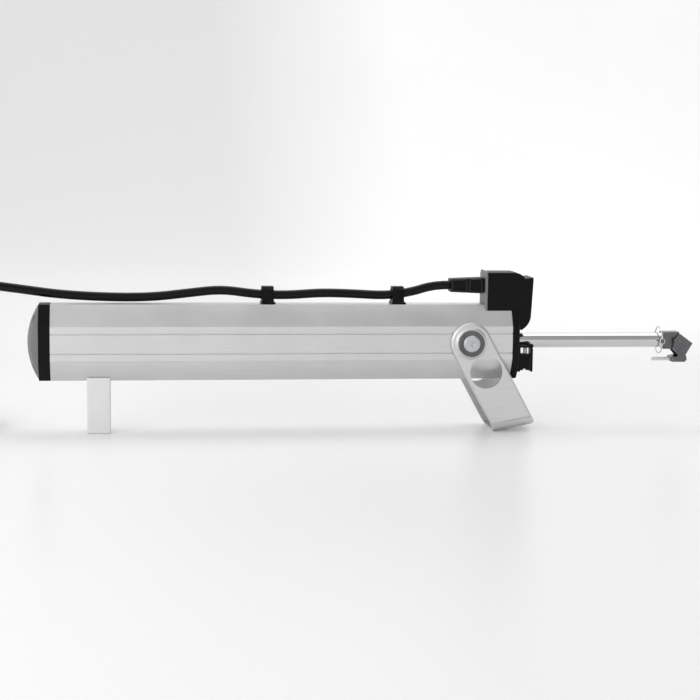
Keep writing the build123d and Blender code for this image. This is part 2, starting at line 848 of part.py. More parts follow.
def terminal_housing():
    """Black L-shaped hood over the power socket, running down the front cap."""
    front_plane = Plane(origin=(0, hood_w / 2, 0), x_dir=(1, 0, 0), z_dir=(0, -1, 0))
    shell = extrude(front_plane * hood_outline(0), amount=hood_w)
    corners = shell.edges().filter_by(Axis.X).group_by(Axis.Z)[-1]
    shell = fillet(corners, 2.0)
    inner_plane = Plane(origin=(0, hood_w / 2 - hood_wall, 0), x_dir=(1, 0, 0), z_dir=(0, -1, 0))
    shell -= extrude(inner_plane * hood_outline(hood_wall), amount=hood_w - 2 * hood_wall)
    return shell - body_prism(plate_x, front_x, step=0)


def power_socket():
    """Socket block behind the plate that the plug's nose enters."""
    x0 = plate_x + plate_t
    x1 = x0 + plug_nose_len + 6
    half = hood_w / 2 - hood_wall
    z0 = half_h
    z1 = plug_z + plug_nose_h / 2 + 3
    block = brick(x0, x1, -half, half, z0, z1)
    half_nose = plug_nose_w / 2 + plug_gap
    tall_nose = plug_nose_h / 2 + plug_gap
    block -= brick(x0, x0 + plug_nose_len, -half_nose, half_nose, plug_z - tall_nose, plug_z + tall_nose)
    for y in socket_pin_ys():
        block -= bar(x0, x1, socket_pin_d / 2, y, plug_z)
    return block - body_prism(x0 - 1, x1 + 1)


def socket_pin_ys():
    """Sideways places of the three pins."""
    return [-socket_pin_pitch, 0, socket_pin_pitch]


def socket_pins():
    """Three round pins of the power socket."""
    x0 = plate_x + plate_t
    x1 = x0 + plug_nose_len + 6
    return [bar(x0 + 3, x1, socket_pin_d / 2, y, plug_z) for y in socket_pin_ys()]


def cord_plug():
    """Rectangular plug in two tapered panels with a collar and a nose in the socket."""
    x0 = plug_x
    x1 = x0 + plug_len
    split = x0 + plug_joint
    back = Plane(origin=(x0, 0, plug_z), x_dir=(0, 1, 0), z_dir=(1, 0, 0))
    front = Plane(origin=(x1, 0, plug_z), x_dir=(0, 1, 0), z_dir=(1, 0, 0))
    section_back = back * RectangleRounded(plug_w - 2, plug_back_h, 1.6)
    section_front = front * RectangleRounded(plug_w, plug_front_h, 1.6)
    plug = loft([section_back, section_front])
    ring = brick(split - 0.4, split + 0.4, -plug_w, plug_w, plug_z - 12, plug_z + 12)
    ring -= Pos(split, 0, plug_z) * Box(2, plug_w - 2, plug_back_h - 0.6)
    plug -= ring
    collar = Plane(origin=(x1, 0, plug_z), x_dir=(0, 1, 0), z_dir=(1, 0, 0)) * RectangleRounded(
        plug_w - plug_collar_rim, plug_front_h - plug_collar_rim, 1.4)
    plug += extrude(collar, amount=plate_x - x1)
    nose_start = plate_x
    nose_end = plate_x + plate_t + plug_nose_len - slide_gap
    plug += brick(nose_start, nose_end, -plug_nose_w / 2, plug_nose_w / 2,
                  plug_z - plug_nose_h / 2, plug_z + plug_nose_h / 2)
    for y in socket_pin_ys():
        plug -= bar(plate_x + plate_t, nose_end, socket_pin_d / 2 + fit_gap, y, plug_z)
    return plug


# Release block under the rod

def release_block():
    """Black block on the front cap: back plate, block with its notch, top bar and pin lug."""
    y0 = release_y
    y1 = release_y + release_w
    x0 = front_x
    back = brick(x0, x0 + release_back_t, y0, y1, release_bottom_z, release_top_z)
    body = brick(x0 + release_back_t, x0 + release_back_t + release_block_len, y0, y1,
                 release_bottom_z + 1.2, release_block_top_z)
    body = fillet(body.edges().filter_by(Axis.Y).group_by(Axis.X)[-1], 0.8)
    notch = brick(x0 + release_back_t + 2.5, x0 + release_back_t + 5, y0, y1,
                  release_bottom_z, release_bottom_z + 2.6)
    top_bar = brick(x0, x0 + flap_pin_x, y0, y1, release_top_z - release_bar_t, release_top_z)
    lug = pin(y0, y1, flap_pin_d / 2 + 0.9, x0 + flap_pin_x, release_top_z)
    split = flap_knuckle()
    lug -= brick(x0, x0 + 2 * flap_pin_x, split[0] - body_gap, split[1] + body_gap, -10, 10)
    top_bar -= brick(x0 + flap_pin_x - flap_barrel_d / 2 - body_gap, x0 + 2 * flap_pin_x,
                     split[0] - body_gap, split[1] + body_gap, -10, 10)
    block = back + body - notch + top_bar + lug
    block -= bar(x0, front_x + wiper_out + body_gap, wiper_d / 2 + body_gap)
    return block - pin(y0, y1, flap_pin_d / 2, x0 + flap_pin_x, release_top_z)


def flap_knuckle():
    """Middle third of the hinge width, taken by the flap's barrel."""
    third = release_w / 3
    return release_y + third, release_y + 2 * third


def flap_pin():
    """Hinge pin of the flap, with a knob at the front."""
    x = front_x + flap_pin_x
    rod = pin(release_y, release_y + release_w, flap_pin_d / 2, x, release_top_z)
    knob = pin(release_y - 1.4, release_y, flap_pin_d / 2 + 1.0, x, release_top_z)
    return rod + knob


def release_flap():
    """Thin flap that hangs in front of the block from its barrel."""
    y0, y1 = flap_knuckle()
    x = front_x + flap_pin_x
    barrel = pin(y0, y1, flap_barrel_d / 2, x, release_top_z)
    plate_top = release_top_z - flap_barrel_d / 2 - body_gap
    plate = brick(x - 0.2, x - 0.2 + flap_t, release_y, release_y + release_w,
                  release_top_z - flap_len, plate_top)
    plate = fillet(plate.edges().filter_by(Axis.Y).group_by(Axis.Z)[0], 0.6)
    neck = brick(x - 0.2, x - 0.2 + flap_t, y0, y1, plate_top, release_top_z)
    flap = barrel + neck + plate
    return flap - pin(y0, y1, flap_pin_d / 2 + fit_gap, x, release_top_z)


def ribbed_pin():
    """Pale ribbed pin between the top bar and the block."""
    x = front_x + ribbed_pin_x
    y = release_y + release_w / 2
    top = release_top_z - release_bar_t
    height = top - release_block_top_z
    shape = Pos(x, y, release_block_top_z + height / 2) * Cylinder(ribbed_pin_d / 2 - 0.3, height)
    pitch = height / ribbed_pin_ribs
    for rib in range(ribbed_pin_ribs):
        z = release_block_top_z + (rib + 0.5) * pitch
        shape += Pos(x, y, z) * Cylinder(ribbed_pin_d / 2, pitch / 2)
    return shape


# Switch board

def switch_places():
    """Rear end of each switch, so that the nut's tab is over its plunger at a stroke end."""
    tab_middle = nut_x + tab_x + tab_len / 2
    return [tab_middle - stroke_in - switch_len / 2, tab_middle + stroke_out - switch_len / 2]


def switch_board():
    """Circuit board on the floor of the lower channel."""
    floor = -half_h + skin
    half = channel_w / 2 - body_gap
    first, last = switch_places()
    return brick(first - board_margin, last + switch_len + board_margin, -half, half, floor, floor + board_t)


def limit_switches():
    """One switch at each end of the nut's travel, with its plunger."""
    floor = -half_h + skin + board_t
    switches = []
    for x in switch_places():
        middle = x + switch_len / 2
        top = floor + switch_h
        case = brick(x, x + switch_len, -switch_w / 2, switch_w / 2, floor, top)
        plunger = brick(middle - plunger_w / 2, middle + plunger_w / 2, -1, 1, top, top + plunger_h)
        switches.append(case + plunger)
    return switches


# Cable

def drop_to_coil():
    """Points of the last stretch, which falls onto the coil as the start of its turns."""
    step = 2 * coil_turn_r * math.tan(math.radians(drop_turn / 2))
    bend = drop_slope ** 2 / (4 * (drop_start_h - drop_end_h))
    points = []
    for index in range(drop_points):
        turn = math.radians(-90 - index * drop_turn)
        left = max(0, 2 * (drop_start_h - drop_end_h) / drop_slope - index * step)
        height = drop_end_h + bend * left ** 2
        points.append((coil_x + drop_r * math.cos(turn), coil_y + drop_r * math.sin(turn), floor_z + height))
    return points


def cable_route():
    """Points of the loose stretch, from the plug to the coil."""
    start = (plug_x, 0.0, plug_z)
    return [start] + cable_points + drop_to_coil()


def fillet_radii(points):
    """The largest arc that the two runs at each corner allow."""
    radii = []
    for before, corner, after in zip(points, points[1:], points[2:]):
        first = Vector(*corner) - Vector(*before)
        second = Vector(*after) - Vector(*corner)
        turn = math.radians(first.get_angle(second))
        radii.append(0.45 * min(first.length, second.length) / math.tan(turn / 2))
    return radii


def cord_tube():
    """The loose stretch of the cable as runs joined by tangent arcs."""
    points = cable_route()
    radii = fillet_radii(points)
    path = FilletPolyline(*points, radius=radii)
    heading = Vector(*points[1]) - Vector(*points[0])
    section = Plane(origin=points[0], z_dir=heading) * Circle(cable_r)
    tube = sweep(section, path=path)
    print("smallest arc", round(min(radii), 1), "cable path", round(path.length, 1))
    print("tube volume over section times length", round(tube.volume / (math.pi * cable_r ** 2 * path.length), 4))
    return tube


def coil_size():
    """Half width and height of the coil's bundle of turns."""
    return coil_columns * cable_d / 2, coil_layers * cable_d * 0.93


def cord_coil():
    """The put-away length of cable as one ring with rounded edges."""
    half, height = coil_size()
    section = Pos(coil_turn_r, floor_z + height / 2) * Rectangle(2 * half, height)
    section = chamfer(section.vertices(), cable_r * 0.7)
    return Pos(coil_x, coil_y, 0) * revolve(Plane.XZ * section, Axis.Z)


def coil_tie():
    """Band round the coil's turns."""
    half, height = coil_size()
    outer = Box(2 * half + 2 * tie_t, tie_w, height + tie_t, align=(Align.CENTER, Align.CENTER, Align.MIN))
    outer = chamfer(outer.edges().filter_by(Axis.Y).group_by(Axis.Z)[-1], cable_r * 0.7)
    band = Pos(coil_x - coil_turn_r, coil_y, floor_z) * outer
    return band - cord_coil()


def cord_end():
    """Sleeve over the stripped end, with its cores reaching into the coil's middle."""
    half, height = coil_size()
    turn = math.radians(end_angle)
    start_r = coil_turn_r - half - end_inset
    start = Pos(coil_x + start_r * math.cos(turn), coil_y + start_r * math.sin(turn), floor_z + sleeve_d / 2)
    lay = start * Rot(0, 0, end_angle - 90 - end_heading)
    end = Pos(sleeve_len / 2, 0, 0) * Rot(0, 90, 0) * Cylinder(sleeve_d / 2, sleeve_len)
    for index in range(core_count):
        offset = (index - (core_count - 1) / 2) * (core_d + 0.3)
        middle = sleeve_len + core_len / 2
        end += Pos(middle, offset, 0) * Rot(0, 90, 0) * Cylinder(core_d / 2, core_len)
    return lay * end


# All nodes, each with its solid or group of solids

def nodes():
    made = {
        "body_extrusion": body_extrusion(),
        "rear_end_cap": rear_end_cap(),
        "rear_dome_cover": rear_dome_cover(),
        "rear_cap_screws": rear_cap_screws(),
        "front_end_cap": front_end_cap(),
        "front_cap_screws": front_cap_screws(),
        "rod_bush": rod_bush(),
        "rod_wiper": rod_wiper(),
        "rear_rest_block": rear_rest_block(),
        "motor_can": motor_can(),
        "motor_ring": motor_ring(),
        "motor_mount": motor_mount(),
        "ring_gear": ring_gear(),
        "sun_shaft": sun_shaft(),
        "planet_carrier": planet_carrier(),
        "bearing_holder": bearing_holder(),
        "screw_bearing": screw_bearing(),
        "lead_screw": lead_screw(),
        "drive_nut": drive_nut(),
        "push_rod": push_rod(),
        "rod_end_fitting": rod_end_fitting(),
        "bracket_pin": bracket_pin(),
        "end_bracket": end_bracket(),
        "bracket_stud": bracket_stud(),
        "lock_pin": lock_pin(),
        "lock_ring": lock_ring(),
        "stirrup": stirrup(),
        "pivot_bushes": pivot_bushes(),
        "pivot_washers": pivot_washers(),
        "pivot_screws": pivot_screws(),
        "connector_plate": connector_plate(),
        "terminal_housing": terminal_housing(),
        "power_socket": power_socket(),
        "socket_pins": socket_pins(),
        "release_block": release_block(),
        "release_flap": release_flap(),
        "flap_pin": flap_pin(),
        "ribbed_pin": ribbed_pin(),
        "switch_board": switch_board(),
        "limit_switches": limit_switches(),
        "cord_plug": cord_plug(),
        "cord_tube": cord_tube(),
        "cord_coil": cord_coil(),
        "coil_tie": coil_tie(),
        "cord_end": cord_end(),
    }
    for index in range(planet_count):
        made["planet_gear_%d" % (index + 1)] = planet_gear(index)
    for index in range(len(clip_xs)):
        made["cable_clip_%d" % (index + 1)] = cable_clip(index)
    return made


def origin_shift():
    """Moves the bottom centre of the object, without its cable, to the origin."""
    left = -rear_cap_t - dome_rise
    right = end_pivot_x + web_right_x
    return Pos(-(left + right) / 2, 0, -floor_z)


def main():
    os.makedirs("parts", exist_ok=True)
    shift = origin_shift()
    for name, shape in nodes().items():
        if isinstance(shape, list):
            shape = Compound(children=[solid for piece in shape for solid in piece.solids()])
        export_step(shift * shape, "parts/%s.step" % name)


main()
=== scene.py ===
import bmesh
import bpy
import json
import math
import numpy as np
from mathutils import Matrix, Vector

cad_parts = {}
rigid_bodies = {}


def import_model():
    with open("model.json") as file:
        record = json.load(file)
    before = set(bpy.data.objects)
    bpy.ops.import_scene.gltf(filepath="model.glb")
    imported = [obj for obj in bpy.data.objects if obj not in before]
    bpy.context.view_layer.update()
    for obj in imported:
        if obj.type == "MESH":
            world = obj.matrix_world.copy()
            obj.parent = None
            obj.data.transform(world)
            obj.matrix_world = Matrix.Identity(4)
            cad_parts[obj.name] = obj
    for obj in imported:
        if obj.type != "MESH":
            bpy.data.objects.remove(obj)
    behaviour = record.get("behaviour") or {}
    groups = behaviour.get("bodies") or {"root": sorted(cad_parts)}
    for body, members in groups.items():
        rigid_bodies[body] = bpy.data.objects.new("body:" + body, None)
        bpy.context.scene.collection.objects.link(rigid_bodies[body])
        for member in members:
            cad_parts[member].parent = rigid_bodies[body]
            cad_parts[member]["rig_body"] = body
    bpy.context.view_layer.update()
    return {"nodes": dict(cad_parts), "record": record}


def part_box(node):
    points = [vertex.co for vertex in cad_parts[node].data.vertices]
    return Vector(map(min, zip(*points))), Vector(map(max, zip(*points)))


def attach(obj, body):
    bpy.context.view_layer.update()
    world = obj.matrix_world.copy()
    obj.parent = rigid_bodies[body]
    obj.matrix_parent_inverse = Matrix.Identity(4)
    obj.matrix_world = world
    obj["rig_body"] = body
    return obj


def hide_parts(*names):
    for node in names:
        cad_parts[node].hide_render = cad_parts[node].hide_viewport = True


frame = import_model()
nodes = frame["nodes"]
SLOT_OF = {part["node"]: part["material_slot"] for part in frame["record"]["subparts"]}

# Sizes in metres, taken from the same drawing as the solids. The drawing's X starts at
# the joint of rear cap and body, and its Z on the rod axis. AXIS_X and AXIS_Z are where that
# point stands in the solids' frame.
AXIS_X = -0.2508
AXIS_Z = 0.072
CABLE_D = 0.0072
COIL_X = -0.0924
COIL_Y = 0.0205
COIL_R = 0.040
LOCK_RING_X = 0.493
LOCK_RING_R = 0.0107
LOCK_RING_WIRE_R = 0.0006

# Where the lead screw's collar starts along X, in the solids' frame.
LEAD_COLLAR = -0.1394

# The camera: place, angles in degrees, and a focal length in pixels of a picture 700 wide.
CAMERA_PLACE = (-0.19247, -1.34377, 0.23758)
CAMERA_YAW = 7.5752
CAMERA_PITCH = 7.2811
CAMERA_ROLL = 0.7628
FOCAL_PIXELS = 1700
PICTURE_PIXELS = 700
SENSOR_WIDTH = 36

# Strength of the pale room at the horizon and behind the object, and overhead at the left and
# at the right.
ROOM_PALE = 1.0
ROOM_LEFT = 0.95
ROOM_RIGHT = 0.25

# How much light the floor and the wall add to what is seen of them.
FLOOR_LIFT = 0.05
WALL_LIFT = 0.27

# Angles in degrees between two faces, above which their edge counts as sharp: on a solid,
# where such an edge is rounded too, and on a turned bar.
SHARP_EDGE = 32
SHARP_THREAD = 50

DUST_COLOUR = (0.62, 0.61, 0.59)


def at(x, y, z):
    """A place on the drawing, moved to the frame that the solids stand in."""
    return (x + AXIS_X, y, z + AXIS_Z)


# Camera


def place_camera():
    """Long lens from the front, a little left and above, rolled as the photograph is."""
    yaw, pitch, roll = math.radians(CAMERA_YAW), math.radians(CAMERA_PITCH), math.radians(CAMERA_ROLL)
    level_part = math.cos(pitch)
    forward = Vector((math.sin(yaw) * level_part, math.cos(yaw) * level_part, -math.sin(pitch)))
    level = Vector((math.cos(yaw), -math.sin(yaw), 0))
    above = level.cross(forward)
    right = math.cos(roll) * level + math.sin(roll) * above
    up = math.cos(roll) * above - math.sin(roll) * level
    data = bpy.data.cameras.new("camera")
    data.lens = FOCAL_PIXELS / PICTURE_PIXELS * SENSOR_WIDTH
    data.sensor_width = SENSOR_WIDTH
    data.clip_start = 0.05
    data.clip_end = 50
    camera = bpy.data.objects.new("camera", data)
    turn = Matrix((right, up, -forward)).transposed()
    camera.matrix_world = Matrix.Translation(CAMERA_PLACE) @ turn.to_4x4()
    bpy.context.scene.collection.objects.link(camera)
    bpy.context.scene.camera = camera


# Meshes worked out as arrays


def piece(name, points, faces, smooth=True):
    """An object at the origin whose mesh has these points and faces."""
    mesh = bpy.data.meshes.new(name)
    corners = [[int(index) for index in face] for face in faces]
    mesh.from_pydata(np.asarray(points, float).tolist(), [], corners)
    mesh.polygons.foreach_set("use_smooth", [smooth] * len(mesh.polygons))
    mesh.update()
    made = bpy.data.objects.new(name, mesh)
    bpy.context.scene.collection.objects.link(made)
    return made


def grid_faces(rows, columns, close_rows=False, close_columns=False):
    """Four-cornered faces between neighbouring rows and columns of a grid of points."""
    row = np.arange(rows if close_rows else rows - 1)
    column = np.arange(columns if close_columns else columns - 1)
    r, c = np.meshgrid(row, column, indexing="ij")
    r2, c2 = (r + 1) % rows, (c + 1) % columns
    corners = [r * columns + c, r * columns + c2, r2 * columns + c2, r2 * columns + c]
    return np.stack(corners, -1).reshape(-1, 4)


def capped_faces(rows, columns):
    """Faces of a closed bar: rings of points joined along it, and one face over each end."""
    faces = grid_faces(rows, columns, close_columns=True).tolist()
    faces.append(list(range(columns))[::-1])
    faces.append([(rows - 1) * columns + i for i in range(columns)])
    return faces


# Stage


def stage_floor():
    """A sheet that lies flat, bends up behind the object on a quarter circle and stands as a wall."""
    half_width, front, bend_start, bend_r, top = 5.0, -4.0, 1.4, 1.2, 4.0
    across = np.linspace(-half_width, half_width, 41)
    flat = np.linspace(front, bend_start, 28)
    turn = np.linspace(0, math.pi / 2, 25)[1:]
    rise = np.linspace(bend_r, top, 12)[1:]
    y = np.concatenate([flat, bend_start + bend_r * np.sin(turn), np.full(len(rise), bend_start + bend_r)])
    z = np.concatenate([np.zeros(len(flat)), bend_r * (1 - np.cos(turn)), rise])
    x_grid, y_grid = np.meshgrid(across, y, indexing="ij")
    z_grid = np.broadcast_to(z, x_grid.shape)
    points = np.stack([x_grid, y_grid, z_grid], -1).reshape(-1, 3)
    sheet = piece("stage_floor", points, grid_faces(len(across), len(y)))
    sheet.data.flip_normals()
    sheet.data.materials.append(stage_paper())


def soft_lamp(name, place, aim, size, watts):
    """A large soft panel lamp that looks at a point on the object."""
    data = bpy.data.lights.new(name, "AREA")
    data.shape = "RECTANGLE"
    data.size, data.size_y = size
    data.energy = watts
    lamp = bpy.data.objects.new(name, data)
    lamp.location = place
    lamp.rotation_mode = "QUATERNION"
    lamp.rotation_quaternion = (Vector(aim) - Vector(place)).to_track_quat("-Z", "Y")
    bpy.context.scene.collection.objects.link(lamp)


def studio_light():
    """A pale room that every ray sees alike, with two large soft panels. It is even at the
    horizon and behind the object. Overhead and towards the camera it gets darker from the left
    to the right."""
    world = bpy.data.worlds.new("studio")
    world.use_nodes = True
    bpy.context.scene.world = world
    tree = world.node_tree
    tree.nodes.clear()
    where = tree.nodes.new("ShaderNodeTexCoord")
    split = tree.nodes.new("ShaderNodeSeparateXYZ")
    tree.links.new(where.outputs["Generated"], split.inputs[0])
    upward = spread(tree, split.outputs["Z"], 0.0, 0.3, 0.0, 1.0)
    frontward = spread(tree, split.outputs["Y"], 0.6, -0.4, 0.0, 1.0)
    dim = sums(tree, "MULTIPLY", upward, frontward)
    overhead = spread(tree, split.outputs["X"], -0.5, 0.6, ROOM_LEFT, ROOM_RIGHT)
    level = spread(tree, dim, 0.0, 1.0, ROOM_PALE, overhead)
    room = tree.nodes.new("ShaderNodeBackground")
    room.inputs["Color"].default_value = (1, 1, 1, 1)
    tree.links.new(level, room.inputs["Strength"])
    out = tree.nodes.new("ShaderNodeOutputWorld")
    tree.links.new(room.outputs[0], out.inputs["Surface"])
    soft_lamp("panel_left", place=(-1.3, -1.5, 0.75), aim=(-0.1, 0, 0.07), size=(1.3, 0.9), watts=8)
    soft_lamp("panel_above", place=(0.3, 0.5, 1.7), aim=(0.05, 0, 0.0), size=(1.8, 1.2), watts=9)


# Shader groups that several finishes share


def new_group(name, inputs, outputs):
    """An empty shader group with named sockets, each given as name, kind and start value."""
    group = bpy.data.node_groups.new(name, "ShaderNodeTree")
    for label, kind, start in inputs:
        socket = group.interface.new_socket(name=label, in_out="INPUT", socket_type=kind)
        if start is not None:
            socket.default_value = start
    for label, kind in outputs:
        group.interface.new_socket(name=label, in_out="OUTPUT", socket_type=kind)
    return group, group.nodes.new("NodeGroupInput"), group.nodes.new("NodeGroupOutput")


def noise(group, vector, scale, detail, rough=0.5):
    """A noise texture read at a vector. Scale is a number or a socket."""
    node = group.nodes.new("ShaderNodeTexNoise")
    group.links.new(vector, node.inputs["Vector"])
    if hasattr(scale, "links"):
        group.links.new(scale, node.inputs["Scale"])
    else:
        node.inputs["Scale"].default_value = scale
    node.inputs["Detail"].default_value = detail
    node.inputs["Roughness"].default_value = rough
    return node.outputs["Fac"]


def sums(group, kind, a, b, clamp=False):
    """One step of arithmetic on two numbers or sockets."""
    node = group.nodes.new("ShaderNodeMath")
    node.operation = kind
    node.use_clamp = clamp
    for socket, value in zip(node.inputs, (a, b)):
        if hasattr(value, "links"):
            group.links.new(value, socket)
        else:
            socket.default_value = value
    return node.outputs[0]


def spread(group, value, low, high, to_low, to_high):
    """A value's range stretched to another range, with its ends held."""
    node = group.nodes.new("ShaderNodeMapRange")
    group.links.new(value, node.inputs["Value"])
    labels = ("From Min", "From Max", "To Min", "To Max")
    for label, amount in zip(labels, (low, high, to_low, to_high)):
        if hasattr(amount, "links"):
            group.links.new(amount, node.inputs[label])
        else:
            node.inputs[label].default_value = amount
    return node.outputs["Result"]


def rounded_edge_group():
    """Edges as if rounded to a radius, and a broken mask along them for edge wear and a painted edge
    highlight.
    """
    group, given, out = new_group(
        "rounded_edge",
        [("Vector", "NodeSocketVector", None), ("Radius", "NodeSocketFloat", 0.0004)],
        [("Normal", "NodeSocketVector"), ("Wear_and_highlight", "NodeSocketFloat")],
    )
    bevel = group.nodes.new("ShaderNodeBevel")
    bevel.samples = 4
    group.links.new(given.outputs["Radius"], bevel.inputs["Radius"])
    flat = group.nodes.new("ShaderNodeNewGeometry")
    dot = group.nodes.new("ShaderNodeVectorMath")
    dot.operation = "DOT_PRODUCT"
    group.links.new(bevel.outputs["Normal"], dot.inputs[0])
    group.links.new(flat.outputs["Normal"], dot.inputs[1])
    turned = spread(group, dot.outputs["Value"], 0.995, 0.85, 0.0, 1.0)
    broken = spread(group, noise(group, given.outputs["Vector"], 420, 4), 0.42, 0.62, 0.0, 1.0)
    group.links.new(bevel.outputs["Normal"], out.inputs["Normal"])
    group.links.new(sums(group, "MULTIPLY", turned, broken), out.inputs["Wear_and_highlight"])
    return group


def fine_grain_group():
    """Fine pebble of a moulded or blasted surface, as a height, with slow blotches beside it."""
    group, given, out = new_group(
        "fine_grain",
        [("Vector", "NodeSocketVector", None), ("Scale", "NodeSocketFloat", 2500.0)],
        [("Height", "NodeSocketFloat"), ("Blotch", "NodeSocketFloat")],
    )
    pebble = noise(group, given.outputs["Vector"], given.outputs["Scale"], 3, 0.6)
    group.links.new(pebble, out.inputs["Height"])
    group.links.new(noise(group, given.outputs["Vector"], 38, 3), out.inputs["Blotch"])
    return group


def drawn_lines_group():
    """Fine lines along X, as an extrusion die or a grinding wheel leaves them."""
    group, given, out = new_group(
        "drawn_lines",
        [("Vector", "NodeSocketVector", None), ("Scale", "NodeSocketFloat", 1800.0)],
        [("Lines", "NodeSocketFloat")],
    )
    stretch = group.nodes.new("ShaderNodeVectorMath")
    stretch.operation = "MULTIPLY"
    stretch.inputs[1].default_value = (0.012, 1.0, 1.0)
    group.links.new(given.outputs["Vector"], stretch.inputs[0])
    drawn = noise(group, stretch.outputs["Vector"], given.outputs["Scale"], 4, 0.65)
    group.links.new(drawn, out.inputs["Lines"])
    return group


def dust_group():
    """Pale dust that settles on faces that look up, in loose patches."""
    group, given, out = new_group(
        "settled_dust",
        [("Vector", "NodeSocketVector", None)],
        [("Dust", "NodeSocketFloat")],
    )
    face = group.nodes.new("ShaderNodeNewGeometry")
    split = group.nodes.new("ShaderNodeSeparateXYZ")
    group.links.new(face.outputs["Normal"], split.inputs[0])
    level = spread(group, split.outputs["Z"], 0.55, 1.0, 0.0, 1.0)
    patch = spread(group, noise(group, given.outputs["Vector"], 160, 6, 0.7), 0.45, 0.75, 0.0, 1.0)
    group.links.new(sums(group, "MULTIPLY", level, patch), out.inputs["Dust"])
    return group


ROUNDED = rounded_edge_group()
GRAIN = fine_grain_group()
LINES = drawn_lines_group()
DUST = dust_group()


# Finishes


def place_group(tree, group, **values):
    """A shared group placed in a finish with its own values, read at object coordinates."""
    node = tree.nodes.new("ShaderNodeGroup")
    node.node_tree = group
    for label, value in values.items():
        node.inputs[label].default_value = value
    where = tree.nodes.get("where") or tree.nodes.new("ShaderNodeTexCoord")
    where.name = "where"
    tree.links.new(where.outputs["Object"], node.inputs["Vector"])
    return node


def blended(tree, mask, under, over):
    """Colour that goes from one to the other by a mask. Each is a colour or a socket."""
    node = tree.nodes.new("ShaderNodeMix")
    node.data_type = "RGBA"
    tree.links.new(mask, node.inputs["Factor"])
    colour_in = [s for s in node.inputs if s.type == "RGBA"]
    for socket, value in zip(colour_in, (under, over)):
        if hasattr(value, "links"):
            tree.links.new(value, socket)
        else:
            socket.default_value = (*value, 1)
    return [s for s in node.outputs if s.type == "RGBA"][0]


def shade(colour, amount):
    """A colour made lighter or darker by a factor."""
    return tuple(min(1.0, c * amount) for c in colour)


def finish(
    name, colour, rough, metal=0.0, edge=0.0004, grain=2500, depth=0.00002, drift=0.12,
    lines=0.0, edge_wear_and_highlight=None, dust=0.1, coat=0.0, specular=0.5,
):
    """A procedural finish: drifting tone, fine grain or drawn lines, softened edges whose broken
    mask takes another colour for edge wear and a painted edge highlight, and a little dust on top."""
    material = bpy.data.materials.new(name)
    material.use_nodes = True
    tree = material.node_tree
    shader = tree.nodes["Principled BSDF"]
    shader.inputs["Metallic"].default_value = metal
    shader.inputs["Coat Weight"].default_value = coat
    shader.inputs["Coat Roughness"].default_value = 0.12
    shader.inputs["Specular IOR Level"].default_value = specular
    pebble = place_group(tree, GRAIN, Scale=grain)
    soft = place_group(tree, ROUNDED, Radius=edge)
    settled = place_group(tree, DUST)
    tone = spread(tree, pebble.outputs["Blotch"], 0.3, 0.7, 0.0, 1.0)
    look = blended(tree, tone, shade(colour, 1 - drift), shade(colour, 1 + drift))
    height = pebble.outputs["Height"]
    gloss = spread(tree, pebble.outputs["Blotch"], 0.3, 0.7, rough * 0.88, rough * 1.12)
    if lines:
        drawn = place_group(tree, LINES)
        height = drawn.outputs["Lines"]
        look = blended(tree, spread(tree, height, 0.3, 0.7, 0.0, lines), look, shade(colour, 0.72))
        swing = 0.5 * lines * rough
        gloss = sums(tree, "ADD", gloss, spread(tree, height, 0.3, 0.7, -swing, swing))
    # Edge colour along the broken mask: partly wear, partly a painted highlight on the edges.
    if edge_wear_and_highlight:
        look = blended(tree, soft.outputs["Wear_and_highlight"], look, edge_wear_and_highlight)
    dusty = sums(tree, "MULTIPLY", settled.outputs["Dust"], dust)
    look = blended(tree, dusty, look, DUST_COLOUR)
    gloss = sums(tree, "ADD", gloss, sums(tree, "MULTIPLY", dusty, 0.4), clamp=True)
    bump = tree.nodes.new("ShaderNodeBump")
    bump.inputs["Distance"].default_value = depth
    bump.inputs["Strength"].default_value = 0.6
    tree.links.new(height, bump.inputs["Height"])
    tree.links.new(soft.outputs["Normal"], bump.inputs["Normal"])
    tree.links.new(look, shader.inputs["Base Color"])
    tree.links.new(gloss, shader.inputs["Roughness"])
    tree.links.new(bump.outputs["Normal"], shader.inputs["Normal"])
    return material


def stage_paper():
    """Pale paper of the floor and wall with a faint mottle, and painted shade that makes the floor
    greyer at the right and the wall greyer at the left. The camera, reflections and rays through
    clear pieces see it a little paler than its paper, and more so on the wall."""
    material = bpy.data.materials.new("stage_paper")
    material.use_nodes = True
    tree = material.node_tree
    shader = tree.nodes["Principled BSDF"]
    shader.inputs["Roughness"].default_value = 0.3
    shader.inputs["Specular IOR Level"].default_value = 0.25
    where = tree.nodes.new("ShaderNodeTexCoord")
    split = tree.nodes.new("ShaderNodeSeparateXYZ")
    tree.links.new(where.outputs["Object"], split.inputs[0])
    mottle = noise(tree, where.outputs["Object"], 3.0, 2)
    tone = spread(tree, mottle, 0.3, 0.7, 0.0, 1.0)
    white = blended(tree, tone, (0.935, 0.935, 0.938), (0.955, 0.955, 0.955))
    # Painted shade: the floor greys towards the right and the wall towards the left.
    right = spread(tree, split.outputs["X"], -0.24, -0.02, 0.0, 1.0)
    floor = blended(tree, right, white, (0.84, 0.84, 0.845))
    left = spread(tree, split.outputs["X"], 0.38, 0.0, 0.0, 1.0)
    wall = blended(tree, left, white, (0.74, 0.74, 0.745))
    rise = spread(tree, split.outputs["Y"], 0.4, 1.3, 0.0, 1.0)
    look = blended(tree, rise, floor, wall)
    tree.links.new(look, shader.inputs["Base Color"])
    ray = tree.nodes.new("ShaderNodeLightPath")
    seen = sums(tree, "ADD", ray.outputs["Is Camera Ray"], ray.outputs["Is Glossy Ray"], clamp=True)
    seen = sums(tree, "ADD", seen, ray.outputs["Is Transmission Ray"], clamp=True)
    lift = spread(tree, rise, 0.0, 1.0, FLOOR_LIFT, WALL_LIFT)
    tree.links.new(look, shader.inputs["Emission Color"])
    tree.links.new(sums(tree, "MULTIPLY", seen, lift), shader.inputs["Emission Strength"])
    return material


# Cable


